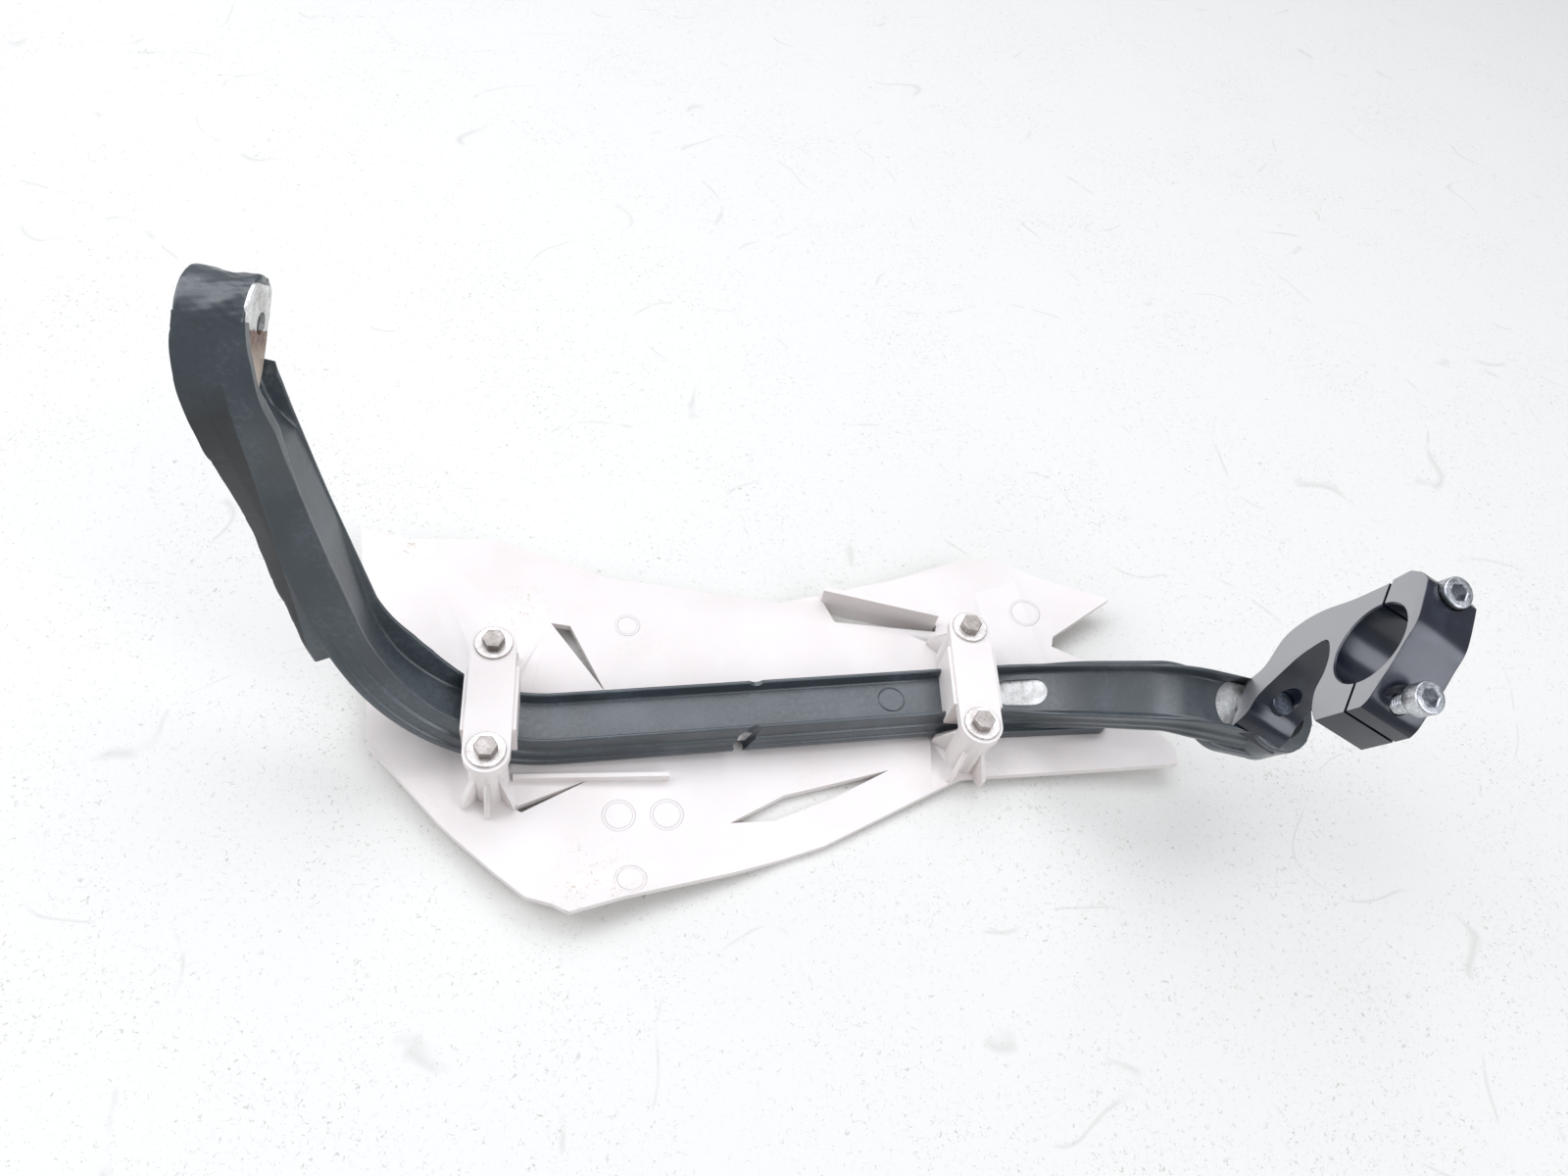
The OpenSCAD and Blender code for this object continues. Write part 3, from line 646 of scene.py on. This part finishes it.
def legShape(flat, lengths, clear=0.0):
    # the leg's near wall is taller and plain, its outer face leans in below a line that ramps down from
    # the round end, and both walls rise where the photographed one does
    look = legLook
    flat = flat.copy()
    across, height = flat[..., 0], flat[..., 1]
    near, far, ramp, floor = (np.interp(lengths, *np.array(look[key]).T)[:, None]
                              for key in ("near", "far", "ramp", "floor"))
    wallTop = height > look["wallFrom"]
    height = height + np.where(wallTop & (across < 0), near, 0) + np.where(wallTop & (across > 0), far, 0)
    onFloor = (np.abs(across) < look["floorHalf"]) & (height > look["floorFrom"]) & (height < look["floorTo"])
    height = height + np.where(onFloor, floor * (1 - height / look["floorTop"]), 0)
    lean = look["lean"] * np.clip((lengths - look["leanFrom"]) / look["leanRun"], 0, 1)[:, None]
    face = -np.minimum(look["narrow"] + (look["top"] - height) * look["slope"], look["wide"])
    face = face + np.maximum(ramp - height, 0) * lean - clear
    atEnd = eased(lengths, *look["end"])[:, None]
    face = face * (1 - atEnd) - (look["endFace"] + clear) * atEnd
    plain = eased(lengths, *look["plain"])[:, None]
    flat[..., 0] = np.where(across < look["outerFrom"], across * (1 - plain) + face * plain, across)
    flat[..., 1] = height
    return flat


def roughBack(flat, lengths):
    # the outer back edge of the leg is scraped: it wanders in and out, with a few bites
    look = scrapeLook
    flat = legShape(flat, lengths, look["clear"])
    edge = (flat[..., 0] < 0) & (flat[..., 1] < look["edge"])
    bite = (0.5 * waves(lengths, *look["sway"])
            + 0.5 * np.maximum(waves(lengths, *look["bites"]) - look["biteFrom"], 0))[:, None]
    ripple = look["up"] * waves(lengths, *look["ripple"])[:, None]
    flat[..., 0] += np.where(edge, look["in"] * bite, 0)
    flat[..., 1] += np.where(edge, ripple + look["up"] * bite - look["down"], 0)
    return flat


def makeCover(look):
    half, radii = np.array(look["half"]), look["radii"]
    section = roundedOutline(np.concatenate([half, (half * [-1, 1])[::-1]]), radii + radii[::-1])
    total = pathReach[-1]
    channel = sweepSection("channel", section, np.linspace(0, total, int(total / look["step"])), legShape)
    backSection = roundedOutline(look["back"], look["backRadii"])
    legBack = sweepSection("legBack", backSection, np.linspace(*look["backRun"], look["backSteps"]), roughBack)
    bossPlace = moved(rightEnd, look["rightShift"])
    leftBoss = roundedBlock(leftEnd, disc(look["leftRadius"], 150), **look["leftBoss"])
    rightBoss = roundedBlock(bossPlace, disc(look["rightRadius"], 150), **look["rightBoss"])
    foot = roundedBlock(moved(rightEnd, look["footShift"]), oblong(*look["footSize"]), **look["foot"])
    tonguePlace = moved(guardPlace, look["tonguePlace"], *look["tongueTurns"])
    tongue = roundedBlock(tonguePlace, oblong(*look["tongueSize"]), **look["tongue"])
    at, onward, _, above = stationsAt(np.array([bendReach(2, 5)]))
    turnY, turnX = (Matrix.Rotation(math.radians(a), 3, axis) for a, axis in zip(look["gougeTurns"], "YX"))
    cutter = disc(look["cutter"], 40)
    cuts = {
        "leftPocket": (leftPlate, oblong(look["pocket"], look["leftRun"])),
        "rightPocket": (rightEnd, oblong(look["pocket"], look["rightRun"])),
        "stainPocket": (leftPlate, roundedOutline(rectangle(*look["stain"]), look["stainRound"])),
        "leftHole": (leftPlate, disc(look["leftHole"])),
        "rightHole": (moved(rightEnd, look["holeShift"]), disc(look["rightHole"])),
        "window": (moved(placeFrame(at[0], onward[0], above[0]), look["windowShift"]), oblong(*look["window"])),
        "gouge": (np.vstack([look["gougePlace"], np.array(turnY @ turnX).T]), cutter),
        "notch": (np.array([look["notchPlace"], [1, 0, 0], [0, 0, -1], [0, 1, 0]], float), cutter),
    }
    steps = [("UNION", mesh) for mesh in (legBack, leftBoss, rightBoss, foot, tongue)]
    steps += [("DIFFERENCE", prism(*cuts[key], *look["depths"][key])) for key in cuts]
    return combined(channel, steps)


coverMesh = makeCover(coverLook)
addPiece("barCover", shaded(coverMesh), "black", "black_plastic", "bar_cover")
print("bar cover:", len(coverMesh.polygons), "faces")

# A thin moulded ring on the channel floor: a small circle carried round a larger one.
ringLook = {"length": 310.5, "side": 0.3, "radius": 5.0, "ridge": 0.3, "around": 64, "ridgeSteps": 8}


def makeRing(look):
    at, onward, aside, above = (v[0] for v in stationsAt(np.array([look["length"]])))
    ringPlace = placeFrame(at + aside * look["side"], onward, above)
    spin, roll = np.meshgrid(*(np.linspace(0, 2 * np.pi, look[key], endpoint=False)
                               for key in ("around", "ridgeSteps")), indexing="ij")
    wide = look["radius"] + look["ridge"] * np.cos(roll)
    grid = np.stack([wide * np.cos(spin), wide * np.sin(spin), look["ridge"] * np.sin(roll)], 2)
    return outward(gridMesh("ring", inFrame(ringPlace, np.concatenate([grid, grid[:1]])), capped=False))


addPiece("mouldedRing", shaded(makeRing(ringLook)), "black", "black_plastic")

# The left end plate spreads over the worn rim: silver at the bolt hole, rusty below.
plateLook = {"corners": [(10.8, 1.3), (10.4, 8.8), (3.1, 12.5), (-3.4, 11.3), (-10, 10), (-17, 8.4), (-23, 5.5),
                         (-27, 0), (-25, -6), (-16, -8), (-8.2, -8), (0.2, -6.6), (9.8, -5)],
             "low": -0.3, "high": 0.95, "rim": 0.25, "hole": 3.3}
plateSolid = roundedBlock(leftPlate, smoothOutline(plateLook["corners"], (), 6), plateLook["low"],
                          plateLook["high"], plateLook["rim"], 4)
plateMesh = combined(plateSolid, [("DIFFERENCE", prism(leftPlate, disc(plateLook["hole"], 64), -9, 9))])
addPiece("endPlate", shaded(plateMesh), "core", "bare_aluminium")

# Handlebar clamp: the two halves are smooth outlines raised to the clamp's width, with the bore, split and
# holes cut. Lengths are in mm from the bore's axis, and x runs down to the bar's end plate.
clampLook = {
    "axis": (-0.83, 0.51, 0.224), "reach": 63.9, "pivotY": 4.3, "screwY": 18.8, "split": -3.1, "width": 18.0,
    "proud": 6.0, "inboard": 5, "footDrop": 1.48, "rim": 0.22,
    "body": [(-4, -23.1), (6.7, -22.5), (15.3, -22.2), (29.3, -22.9), (39.9, -21.1), (47.4, -16.9), (53, -6.7),
             (60.6, -2.9), (60.6, 17.3), (54, 12.8), (50.6, 6.3), (40.6, -1.1), (33.5, -5.5), (24.5, -8.3),
             (21.5, -7.8), (19.6, -5.1), (18, 0), (18, 6.2), (19.5, 12.6), (17.9, 20), (14.6, 24.9),
             (-4, 24.9)],
    "bodySharp": (0, 7, 8, 20, 21),
    "cap": [(4, 24.9), (-5, 24.8), (-7.5, 22.5), (-10, 17.4), (-13.3, 11), (-15.7, 4.7), (-18.5, -3.3),
            (-17.7, -18.1), (-14.4, -21.7), (-8.7, -24.7), (4, -23.1)],
    "capSharp": (0, 1, 7, 9, 10),
    "bore": [(15.6, 0.8), (14.3, -0.5), (14.3, -17.5), (15.6, -18.8)],  # radius and height, flared at both ends
    "topSeat": -13.5, "lowSeat": -10, "sink": 20, "sinkRadius": 5.5, "bodyHole": 6, "capHole": 6.6,
    "gap": 0.6, "beyond": 30, "padRadius": 8.6, "padFrom": 60, "pivotRadius": 4, "pivotDepths": (30, 70),
}
barAxis = squareTo(np.array(clampLook["axis"]), up[1])
clampX = -up[1]
clampY = np.cross(barAxis, clampX)
clampOrigin = (point[1] - way[1] * clampLook["inboard"] - up[1] * clampLook["footDrop"]
               - clampX * clampLook["reach"] - clampY * clampLook["pivotY"] + barAxis * clampLook["width"] / 2)
clampPlace = placeFrame(clampOrigin, clampX, barAxis)
splitPlace = moved(clampPlace, (0, 0, 0), 0.0, clampLook["split"])


def screwPlace(x, s):
    # a screw's frame, z along the screw, on the low (s = 1) or top (s = -1) side of the split
    spot = moved(splitPlace, (x, s * clampLook["screwY"], -clampLook["width"] / 2))
    return np.vstack([spot[0], -spot[3], spot[2], spot[1]])


screwLook = {"head": 5.0, "height": 6.0, "flat": 2.5, "depth": 4.0, "shank": 3.0, "pitch": 1.0, "knurl": 0.09,
             "knurls": 36, "round": 0.6, "thread": 0.24, "length": 25, "threaded": 12}


def capScrew(name, node, place):
    # One surface from the middle of the hex socket, over the knurled head and down the threaded shank. Radius
    # and height are functions of the row, and the socket's six flats (half the flats' width over the cosine of
    # the turn), the knurl and the thread's helix (both saw-toothed in the turn) are added around it.
    look = screwLook
    turns = np.linspace(0, 2 * np.pi, 144, endpoint=False)
    plain = np.ones(len(turns))
    hexagon = look["flat"] / np.cos((turns + np.pi / 6) % (np.pi / 3) - np.pi / 6)
    knurled = look["head"] - look["knurl"] * np.abs(((turns * look["knurls"] / np.pi) % 2) - 1)
    top, length, edge, rim = -look["height"], look["length"], look["round"], look["head"] - look["round"]
    socket = top + look["depth"]
    rows = [(plain * 0.05, socket), (hexagon * 0.98, socket), (hexagon, socket - 0.3), (hexagon, top + 0.35),
            (hexagon + 0.3, top + 0.02)]
    quarter = np.linspace(0, np.pi / 2, 5)
    rows += [(plain * (rim + edge * math.sin(t)), top + edge - edge * math.cos(t)) for t in quarter]
    rows += [(knurled, top + 1.1), (knurled, -0.7), (plain * (look["head"] - 0.15), -0.45),
             (plain * (look["head"] - 0.35), 0.0), (plain * look["shank"], 0.0)]
    down = np.linspace(0.15, look["threaded"], look["threaded"] * 8)
    helix = (down[:, None] / look["pitch"] - turns[None] / (2 * np.pi)) % 1
    rows += [(look["shank"] - 0.02 - t, z) for t, z in zip(look["thread"] * np.abs(helix * 2 - 1), down)]
    rows += [(plain * (look["shank"] - 0.3), length - 0.4), (plain * (look["shank"] - 0.7), length),
             (plain * 0.05, length)]
    radius = np.array([r for r, z in rows])
    height = np.repeat(np.array([z for r, z in rows])[:, None], len(turns), 1)
    grid = np.stack([radius * np.cos(turns), radius * np.sin(turns), height], 2)
    addPiece(name, shaded(outward(gridMesh(name, inFrame(place, grid))), 38), "screw", "screw_steel", node)


capScrew("capScrewTop", "cap_screw_top", screwPlace(clampLook["topSeat"], -1))
capScrew("capScrewLow", "cap_screw_low", screwPlace(clampLook["lowSeat"] - clampLook["proud"], 1))


def clampHalf(name, node, corners, sharp, steps):
    # the outline goes round the same way in both halves, because its rim is drawn in on the left of its way
    outline = smoothOutline(corners, sharp)
    after = np.roll(outline, -1, 0)
    if (outline[:, 0] * after[:, 1] - after[:, 0] * outline[:, 1]).sum() < 0:
        outline = outline[::-1]
    solid = roundedBlock(clampPlace, outline, -clampLook["width"], 0, clampLook["rim"], 4)
    addPiece(name, shaded(combined(solid, steps), 30), "anodised", "black_anodised", node)


def boreCut():
    # the handlebar's bore, a circle of each radius at its height
    radius, height = np.array(clampLook["bore"]).T[..., None]
    a = np.linspace(0, 2 * np.pi, 120, endpoint=False)
    grid = np.stack([radius * np.cos(a), radius * np.sin(a), height + 0 * a], 2)
    return ("DIFFERENCE", gridMesh("bore", inFrame(clampPlace, grid)))


def splitCut(left, right):
    return ("DIFFERENCE", prism(splitPlace, rectangle((left, -40), (right, 40)), -40, 40))


def screwCuts(diameter):
    return [("DIFFERENCE", prism(screwPlace(-40, s), disc(diameter / 2, 48), 0, 52)) for s in (-1, 1)]


def sinkCut(seat, s):
    # the round seat that a screw's head stands in
    depth = clampLook["sink"]
    return ("DIFFERENCE", prism(screwPlace(seat - depth, s), disc(clampLook["sinkRadius"], 48), 0, depth))


gap, beyond = clampLook["gap"], clampLook["beyond"]
pivotPlace = np.vstack([inFrame(clampPlace, (0, clampLook["pivotY"], -clampLook["width"] / 2)), -clampPlace[3],
                        clampPlace[2], clampPlace[1]])
pad = prism(pivotPlace, disc(clampLook["padRadius"], 64), clampLook["padFrom"], clampLook["reach"])
pivotHole = prism(pivotPlace, disc(clampLook["pivotRadius"], 48), *clampLook["pivotDepths"])
clampHalf("clampBody", "clamp_body", clampLook["body"], clampLook["bodySharp"],
          [("UNION", pad), boreCut(), splitCut(-beyond, gap)] + screwCuts(clampLook["bodyHole"])
          + [("DIFFERENCE", pivotHole)])
clampHalf("clampCap", "clamp_cap", clampLook["cap"], clampLook["capSharp"],
          [boreCut(), splitCut(-gap, beyond - gap)] + screwCuts(clampLook["capHole"])
          + [sinkCut(clampLook["topSeat"], -1), sinkCut(clampLook["lowSeat"], 1)])
print("clamp made")

corner = benchTop["half"]
floorMesh = bpy.data.meshes.new("benchTop")
floorMesh.from_pydata([(x * corner, y * corner, 0) for x, y in ((-1, -1), (1, -1), (1, 1), (-1, 1))], [],
                      [(0, 1, 2, 3)])
floor = bpy.data.objects.new("benchTop", floorMesh)
bpy.context.scene.collection.objects.link(floor)
floor.data.materials.append(makeBenchTop())

# Soft daylight from a window and three other sides: power in watts, place and size in metres.
sky = {"strength": 0.4, "tint": (0.96, 0.99, 1.05), "aim": (0, 0, 0.03)}
lights = {"window": (13.5, (0.36, 0.83, 1.56), (1.7, 0.95)), "side": (13.5, (-0.88, 0.36, 1.41), (1.3, 1.3)),
          "front": (13.0, (0.86, -1.02, 1.2), (1.1, 1.1)), "low": (8.0, (-1.5, 0.4, 0.7), (1.4, 1.2))}
world = bpy.data.worlds.new("softSky")
bpy.context.scene.world = world
world.use_nodes = True
background = world.node_tree.nodes["Background"]
background.inputs[0].default_value = sky["tint"] + (1.0,)
background.inputs[1].default_value = sky["strength"]


def addLight(name, power, place, size):
    # a rectangular soft light aimed at the part
    light = bpy.data.lights.new(name, "AREA")
    light.energy = power
    light.color = sky["tint"]
    light.shape = "RECTANGLE"
    light.size, light.size_y = size
    holder = bpy.data.objects.new(name, light)
    bpy.context.scene.collection.objects.link(holder)
    holder.location = place
    holder.visible_camera = False
    holder.rotation_euler = (Vector(sky["aim"]) - Vector(place)).to_track_quat("-Z", "Y").to_euler()


for name, look in lights.items():
    addLight(name + "Light", *look)

view = {"place": (-86.32, -219.11, 377.86), "ahead": (0.1967, 0.58358, -0.78753),
        "up": (0.03619, 0.79862, 0.60144), "lens": 26.1, "sensor": 36.0, "clip": 0.01}
cameraData = bpy.data.cameras.new("photoCamera")
cameraData.lens = view["lens"]
cameraData.sensor_width = view["sensor"]
cameraData.clip_start = view["clip"]
camera = bpy.data.objects.new("photoCamera", cameraData)
bpy.context.scene.collection.objects.link(camera)
ahead = Vector(view["ahead"]).normalized()
across = ahead.cross(Vector(view["up"])).normalized()
turnedTo = Matrix((across, across.cross(ahead), -ahead)).transposed().to_4x4()
camera.matrix_world = Matrix.Translation(Vector(view["place"]) * mm) @ turnedTo
bpy.context.scene.camera = camera
bpy.context.scene.view_settings.view_transform = "Standard"
bpy.context.scene.view_settings.exposure = 0.0
print("stage set")
